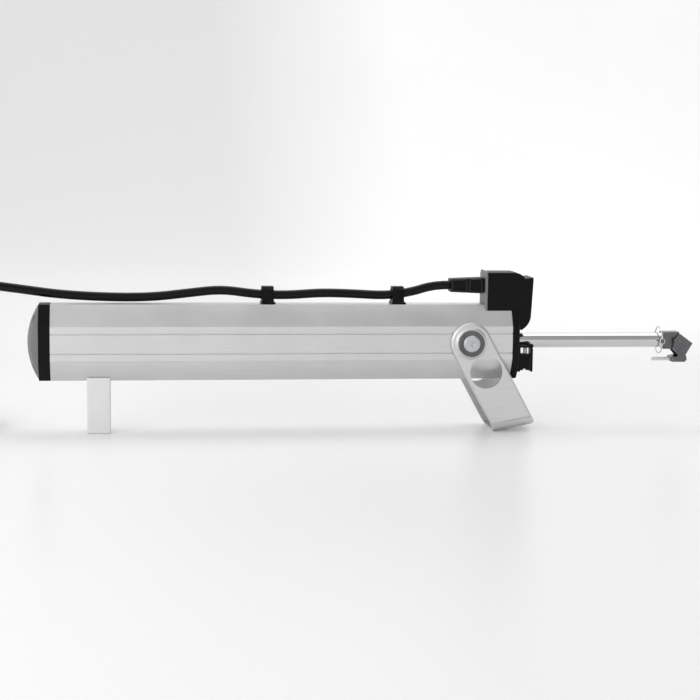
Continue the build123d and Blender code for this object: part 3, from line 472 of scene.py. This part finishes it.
def loose_route():
    """The cable's run over the body and down behind it to the coil, as the drawing has it."""
    return [
        at(0.3173, 0, 0.045), at(0.304, 0, 0.045), at(0.286, 0, 0.0392), at(0.264, 0, 0.0364),
        at(0.238, 0.0015, 0.0379), at(0.212, 0.001, 0.0386), at(0.186, 0, 0.0366), at(0.160, 0, 0.0375),
        at(0.134, 0.0015, 0.0412), at(0.108, 0.0025, 0.0382), at(0.080, 0.0035, 0.0348),
        at(0.046, 0.0035, 0.0346), at(0.008, 0.002, 0.0368), at(-0.024, 0.0005, 0.0414),
        at(-0.050, -0.0025, 0.0452), at(-0.0715, -0.0115, 0.0390),
    ]


def drop_and_turns():
    """The cable's fall onto the coil and the coil's turns, clockwise from above. The fall takes
    two thirds of a turn, in twelfths, and its height is a landing height plus a steepness times
    the square of what is left to go. Then come outer and inner turns above and below, with one
    turn nested between them, and the last one leaves towards the middle."""
    fall_steps, fall_r, landing, steepness = 8, 0.0446, 0.017, 2.23
    fall_length, fall_stride, all_turns = 0.188, 0.0214, 4.70
    fall = np.arange(fall_steps) / 12
    left_to_go = np.maximum(0, fall_length - fall * 12 * fall_stride)
    turns = np.concatenate([fall, np.linspace(fall_steps / 12, all_turns, 62)])
    stops = [0.0, 1.28, 1.48, 2.08, 2.28, 2.88, 3.08, 3.68, 3.88, 4.34, all_turns]
    outer, inner = COIL_R + CABLE_D / 2, COIL_R - CABLE_D / 2
    radii = [outer, outer, inner, inner, COIL_R, COIL_R, outer, outer, inner, inner, 0.0312]
    low, step = CABLE_D / 2 + 0.0001, 0.0066
    levels = [low + 2 * step] * 4 + [low + step] * 2 + [low] * 4 + [0.0039]
    radius = np.where(turns < fall_steps / 12, fall_r, np.interp(turns, stops, radii))
    height = np.interp(turns, stops, levels)
    height[:fall_steps] = landing + steepness * left_to_go ** 2
    angle = -math.pi / 2 - 2 * math.pi * turns
    x = COIL_X + AXIS_X + radius * np.cos(angle)
    y = COIL_Y + radius * np.sin(angle)
    return [tuple(p) for p in np.stack([x, y, height], -1)]


def cable():
    """One cable from the plug to its stripped end: a smooth spline, round in section."""
    points = loose_route() + drop_and_turns()
    curve = bpy.data.curves.new("cable", "CURVE")
    curve.dimensions = "3D"
    curve.bevel_depth = CABLE_D / 2
    curve.bevel_resolution = 5
    curve.resolution_u = 5
    curve.use_fill_caps = True
    spline = curve.splines.new("NURBS")
    spline.points.add(len(points) - 1)
    spline.points.foreach_set("co", np.c_[np.array(points), np.ones(len(points))].ravel())
    spline.order_u = 3
    spline.use_endpoint_u = True
    made = bpy.data.objects.new("cable", curve)
    bpy.context.scene.collection.objects.link(made)
    curve.materials.append(finishes["cable_rubber"])
    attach(made, "base")
    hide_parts("cord_tube", "cord_coil")


# Finishes of the record's slots, and those that only the picture uses

finishes = {
    "satin_aluminium": finish(
        "satin_aluminium", (0.73, 0.73, 0.73), 0.36, metal=1.0, edge=0.0003, drift=0.03,
        lines=0.25, depth=0.000006, edge_wear_and_highlight=(0.86, 0.86, 0.87), dust=0.05,
    ),
    "black_plastic": finish(
        "black_plastic", (0.004, 0.004, 0.0045), 0.38, grain=2200, edge_wear_and_highlight=(0.03, 0.03, 0.03),
        dust=0.01, specular=0.13,
    ),
    "grey_plastic": finish("grey_plastic", (0.20, 0.20, 0.20), 0.45, edge_wear_and_highlight=(0.45, 0.45, 0.45)),
    "white_plastic": finish(
        "white_plastic", (0.84, 0.84, 0.84), 0.35, drift=0.02, edge_wear_and_highlight=(0.9, 0.9, 0.9), dust=0.03,
    ),
    "black_rubber": finish("black_rubber", (0.014, 0.014, 0.015), 0.6, grain=3200, depth=0.00004),
    "cable_rubber": finish(
        "cable_rubber", (0.0035, 0.0035, 0.004), 0.22, grain=1800, depth=0.00001, edge=0.0001,
        dust=0.01, specular=0.2,
    ),
    "stainless": finish(
        "stainless", (0.66, 0.66, 0.665), 0.10, metal=1.0, drift=0.04, lines=0.2, depth=0.000005,
        edge_wear_and_highlight=(0.85, 0.85, 0.85), dust=0.03,
    ),
    "zinc_steel": finish(
        "zinc_steel", (0.60, 0.61, 0.63), 0.30, metal=1.0, depth=0.00001, edge_wear_and_highlight=(0.8, 0.8, 0.8),
    ),
    "gear_steel": finish(
        "gear_steel", (0.42, 0.42, 0.43), 0.28, metal=1.0, drift=0.08, depth=0.00001,
        edge_wear_and_highlight=(0.7, 0.7, 0.7),
    ),
    # Its near-white edge colour is partly wear and partly a painted highlight along the dark steel's edges.
    "dark_steel": finish(
        "dark_steel", (0.15, 0.15, 0.155), 0.30, metal=1.0, drift=0.22, depth=0.00003, edge=0.0006,
        edge_wear_and_highlight=(0.92, 0.92, 0.92),
    ),
    "pale_stud": finish("pale_stud", (0.84, 0.84, 0.84), 0.5, metal=0.3, drift=0.04, depth=0.00001),
    "brass": finish(
        "brass", (0.72, 0.52, 0.25), 0.25, metal=1.0, drift=0.08, depth=0.00001, edge_wear_and_highlight=(0.85, 0.68, 0.4),
    ),
    "acetal": finish(
        "acetal", (0.80, 0.79, 0.75), 0.38, drift=0.03, depth=0.00001, edge_wear_and_highlight=(0.86, 0.86, 0.83),
    ),
    # Pale grey of the plug's raised panel lines: a painted highlight against the black plug.
    "plug_line": finish("plug_line", (0.10, 0.10, 0.105), 0.4, dust=0.0),
    "board_green": finish("board_green", (0.02, 0.14, 0.06), 0.35, drift=0.1, depth=0.00001, coat=0.4),
}


def dress_nodes():
    """Gives every solid the finish of its slot."""
    for name, slot in SLOT_OF.items():
        mesh = nodes[name].data
        mesh.materials.clear()
        mesh.materials.append(finishes[slot])


# Solids taken over with rounded edges


def rounded_copy(node, rounding, segments=2):
    """A solid's own faces, merged and shaded smooth up to an angle, with its edges rounded.
    It stands for the solid and takes its finish."""
    mesh = nodes[node].data.copy()
    mesh.name = node + "_rounded"
    work = bmesh.new()
    work.from_mesh(mesh)
    bmesh.ops.remove_doubles(work, verts=work.verts, dist=2e-6)
    bmesh.ops.dissolve_limit(work, angle_limit=math.radians(1.2), verts=work.verts, edges=work.edges)
    work.to_mesh(mesh)
    work.free()
    mesh.polygons.foreach_set("use_smooth", [True] * len(mesh.polygons))
    mesh.set_sharp_from_angle(angle=math.radians(SHARP_EDGE))
    made = bpy.data.objects.new(mesh.name, mesh)
    bpy.context.scene.collection.objects.link(made)
    bevel = made.modifiers.new("rounding", "BEVEL")
    bevel.width = rounding
    bevel.segments = segments
    bevel.limit_method = "ANGLE"
    bevel.angle_limit = math.radians(SHARP_EDGE)
    bevel.use_clamp_overlap = True
    bevel.harden_normals = True
    bevel.miter_outer = "MITER_ARC"
    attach(made, nodes[node]["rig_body"])
    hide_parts(node)
    return made


# Pieces finer than the solids


def turned(name, node, start, heading, rows, columns, radius_at, finish_name):
    """A bar turned about a line. Each row of points is a ring at a distance along the line,
    and a point's radius comes from its distance and its angle round the line."""
    heading = Vector(heading).normalized()
    side = heading.orthogonal().normalized()
    over = heading.cross(side)
    angle = np.linspace(0, 2 * math.pi, columns, endpoint=False)
    along, round_about = np.meshgrid(np.asarray(rows, float), angle, indexing="ij")
    radius = radius_at(along, round_about)
    points = np.asarray(start) + along[..., None] * np.array(heading)
    points = points + (radius * np.cos(round_about))[..., None] * np.array(side)
    points = points + (radius * np.sin(round_about))[..., None] * np.array(over)
    made = piece(name, points.reshape(-1, 3), capped_faces(len(rows), columns))
    made.data.set_sharp_from_angle(angle=math.radians(SHARP_THREAD))
    made.data.materials.append(finishes[finish_name])
    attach(made, nodes[node]["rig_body"])
    return made


def thread_radius(outer, pitch, depth, start, end, starts=1):
    """Radius of a right-handed vee thread: the depth follows a triangle wave, flattened at crest
    and root, of distance over pitch less the turn times the starts. It fades out within a pitch
    of start and end, and the bar is plain outside them."""
    def radius_at(along, round_about):
        phase = (along / pitch - starts * round_about / (2 * math.pi)) % 1.0
        cut = depth * np.clip(1.6 * np.abs(2 * phase - 1) - 0.3, 0, 1)
        fade = np.clip(np.minimum(along - start, end - along) / pitch, 0, 1)
        return outer - cut * fade
    return radius_at


def bracket_stud_thread():
    """The pale stud under the end bracket, with its fine thread and a chamfer on its free end."""
    length, outer, pitch, depth = 0.0216, 0.0015, 0.0005, 0.0003
    chamfer = 0.0003
    rows = np.arange(0, length + 0.00005, pitch / 4)
    thread = thread_radius(outer, pitch, depth, 0.0, length)

    def radius_at(along, turn):
        return thread(along, turn) - np.clip(chamfer - along, 0, 1)

    made = turned(
        "bracket_stud_thread", "bracket_stud", at(0.4874, 0, -0.0157), (1, 0, 0), rows, 20,
        radius_at, "pale_stud",
    )
    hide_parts("bracket_stud")


def lead_screw_thread():
    """The lead screw, plain in the bearing, and its collar. Four starts at a pitch of two
    millimetres move the nut eight millimetres a turn. Its tip is chamfered."""
    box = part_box("lead_screw")
    start, end = box[0][0], box[1][0]
    outer, pitch, depth, chamfer = 0.004, 0.002, 0.00075, 0.001
    collar_r, collar_length, hair = 0.0065, 0.0025, 1e-6
    collar = (LEAD_COLLAR - start, LEAD_COLLAR - start + collar_length)
    steps = np.arange(0, end - start, pitch / 5)
    edges = [collar[0] - hair, collar[0], collar[1], collar[1] + hair, end - start]
    rows = np.unique(np.concatenate([steps, edges]))
    thread = thread_radius(outer, pitch, depth, collar[1], end - start, starts=4)

    def radius_at(along, turn):
        tip = np.clip(along - (end - start - chamfer), 0, chamfer)
        inside = (along >= collar[0]) & (along <= collar[1])
        return np.where(inside, collar_r, thread(along, turn) - tip)

    made = turned(
        "lead_screw_thread", "lead_screw", (start, 0, AXIS_Z), (1, 0, 0), rows, 48, radius_at, "zinc_steel",
    )
    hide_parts("lead_screw")


def wire(name, path, radius, node, finish_name, closed=True, columns=8):
    """A round wire along a path. Each ring of points lies across the path's own direction."""
    path = np.asarray(path, float)
    ahead = np.roll(path, -1, 0) - np.roll(path, 1, 0)
    if not closed:
        ahead[0], ahead[-1] = path[1] - path[0], path[-1] - path[-2]
    ahead /= np.linalg.norm(ahead, axis=1)[:, None]
    slant = np.array([0.577, 0.577, 0.577])
    level = np.cross(ahead, slant)
    level /= np.linalg.norm(level, axis=1)[:, None]
    over = np.cross(ahead, level)
    angle = np.linspace(0, 2 * math.pi, columns, endpoint=False)
    cosine, sine = np.cos(angle)[None, :, None], np.sin(angle)[None, :, None]
    ring = cosine * level[:, None] + sine * over[:, None]
    points = (path[:, None] + radius * ring).reshape(-1, 3)
    faces = grid_faces(len(path), columns, True, True) if closed else capped_faces(len(path), columns)
    made = piece(name, points, faces)
    made.data.materials.append(finishes[finish_name])
    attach(made, nodes[node]["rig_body"])
    return made


def panel_rim(name, x0, x1, low0, high0, low1, high1, y0, y1):
    """A thin raised line round one panel of the plug: four sides with rounded corners, in a pale
    grey that is a painted highlight. The panel has its own depth, bottom and top at each end,
    because the plug widens along X."""
    cut, line_r = 0.0012, 0.00016
    corners = [(x0, y0, low0), (x1, y1, low1), (x1, y1, high1), (x0, y0, high0)]
    path = []
    for index, corner in enumerate(corners):
        here = Vector(corner)
        before = (Vector(corners[index - 1]) - here).normalized()
        after = (Vector(corners[(index + 1) % 4]) - here).normalized()
        path += [here + before * cut, here + (before + after) * cut * 0.3, here + after * cut]
    wire(name, path, line_r, "cord_plug", "plug_line", columns=6)


def lock_ring_wire():
    """The wire ring round the rod: half circles above and below that end at two eyes, and
    each eye is a circle of the same wire that goes round one end of the lock pin."""
    middle = np.array([LOCK_RING_X + AXIS_X, 0, AXIS_Z])
    eye_r = 0.0019
    reach = math.asin(eye_r / LOCK_RING_R)
    for label, start in (("upper", 0.0), ("lower", math.pi)):
        turn = np.linspace(start + reach, start + math.pi - reach, 60)
        half = middle + LOCK_RING_R * np.stack([0 * turn, np.cos(turn), np.sin(turn)], -1)
        made = wire(
            "lock_ring_" + label, half, LOCK_RING_WIRE_R, "lock_ring", "stainless", closed=False,
            columns=10,
        )
        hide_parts("lock_ring")
    eye = np.linspace(0, 2 * math.pi, 24, endpoint=False)
    for label, side in (("near", -LOCK_RING_R), ("far", LOCK_RING_R)):
        loop = middle + np.stack([eye_r * np.cos(eye), 0 * eye + side, eye_r * np.sin(eye)], -1)
        made = wire("lock_ring_eye_" + label, loop, LOCK_RING_WIRE_R, "lock_ring", "stainless")
        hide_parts("lock_ring")


def plug_rims():
    """Raised lines round both panels of the plug, on its near and far faces, paler than the plug
    as a painted highlight. The plug's half height and half depth both grow by a millimetre along
    it, and the lines keep a margin from its top and bottom."""
    plug_start, plug_length, growth, margin = 0.3173, 0.0255, 0.001, 0.0009
    half_height, half_depth = 0.0053, 0.007
    middle = AXIS_Z + 0.045
    for label, side in (("near", -1), ("far", 1)):
        for panel, x0, x1 in (("rear", 0.3174, 0.3303), ("front", 0.3317, 0.3424)):
            shares = [(x - plug_start) / plug_length for x in (x0, x1)]
            half0, half1 = [half_height + share * growth - margin for share in shares]
            y0, y1 = [side * (half_depth + share * growth) for share in shares]
            xa, xb = x0 + AXIS_X + 0.0008, x1 + AXIS_X - 0.0003
            edges = [middle - half0, middle + half0, middle - half1, middle + half1]
            panel_rim("plug_rim_" + panel + "_" + label, xa, xb, *edges, y0, y1)


def web_teeth():
    """Fine teeth across the bracket's web: a closed bar, sunk a little into the web, whose top
    follows the size of a sine along it, with one tooth to each half wave."""
    top, low = np.array([0.5196, -0.0021]), np.array([0.5142, -0.0114])
    teeth, tooth_height, half, sunk = 12, 0.00028, 0.0072, -0.0004
    first, margins, stand_off = 0.0013, 0.0022, 0.00002
    line = (low - top) / np.linalg.norm(low - top)
    out = np.array([-line[1], line[0]])
    length = np.linalg.norm(low - top) - margins
    steps = np.linspace(0, 1, 8 * teeth + 1)
    wave = tooth_height * np.abs(np.sin(math.pi * teeth * steps))
    points = []
    for step, lift in zip(steps, wave):
        for y, height in ((-half, sunk), (half, sunk), (half, lift), (-half, lift)):
            x, z = top + line * (first + step * length) + out * (height + stand_off)
            points.append((x + AXIS_X, y, z + AXIS_Z))
    made = piece("web_teeth", points, capped_faces(len(steps), 4), smooth=False)
    made.data.materials.append(finishes["stainless"])
    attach(made, nodes["end_bracket"]["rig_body"])


bpy.context.scene.view_settings.view_transform = "Standard"
place_camera()
stage_floor()
studio_light()
dress_nodes()
for dark in ("bracket_pin", "lock_pin"):
    nodes[dark].data.materials[0] = finishes["dark_steel"]
plug = rounded_copy("cord_plug", 0.00035)
tie = rounded_copy("coil_tie", 0.0002)
cable()
for shell in ("stirrup", "terminal_housing", "connector_plate", "cable_clip_1", "cable_clip_2"):
    rounded_copy(shell, 0.00035)
for shell in ("rear_end_cap", "rear_dome_cover", "front_end_cap", "rod_end_fitting"):
    rounded_copy(shell, 0.0003)
rounded_copy("rear_rest_block", 0.0014, segments=4)
for shell in ("release_block", "release_flap", "pivot_screws", "pivot_washers"):
    rounded_copy(shell, 0.0002)
rounded_copy("end_bracket", 0.0005)
bracket_stud_thread()
lead_screw_thread()
plug_rims()
web_teeth()
lock_ring_wire()
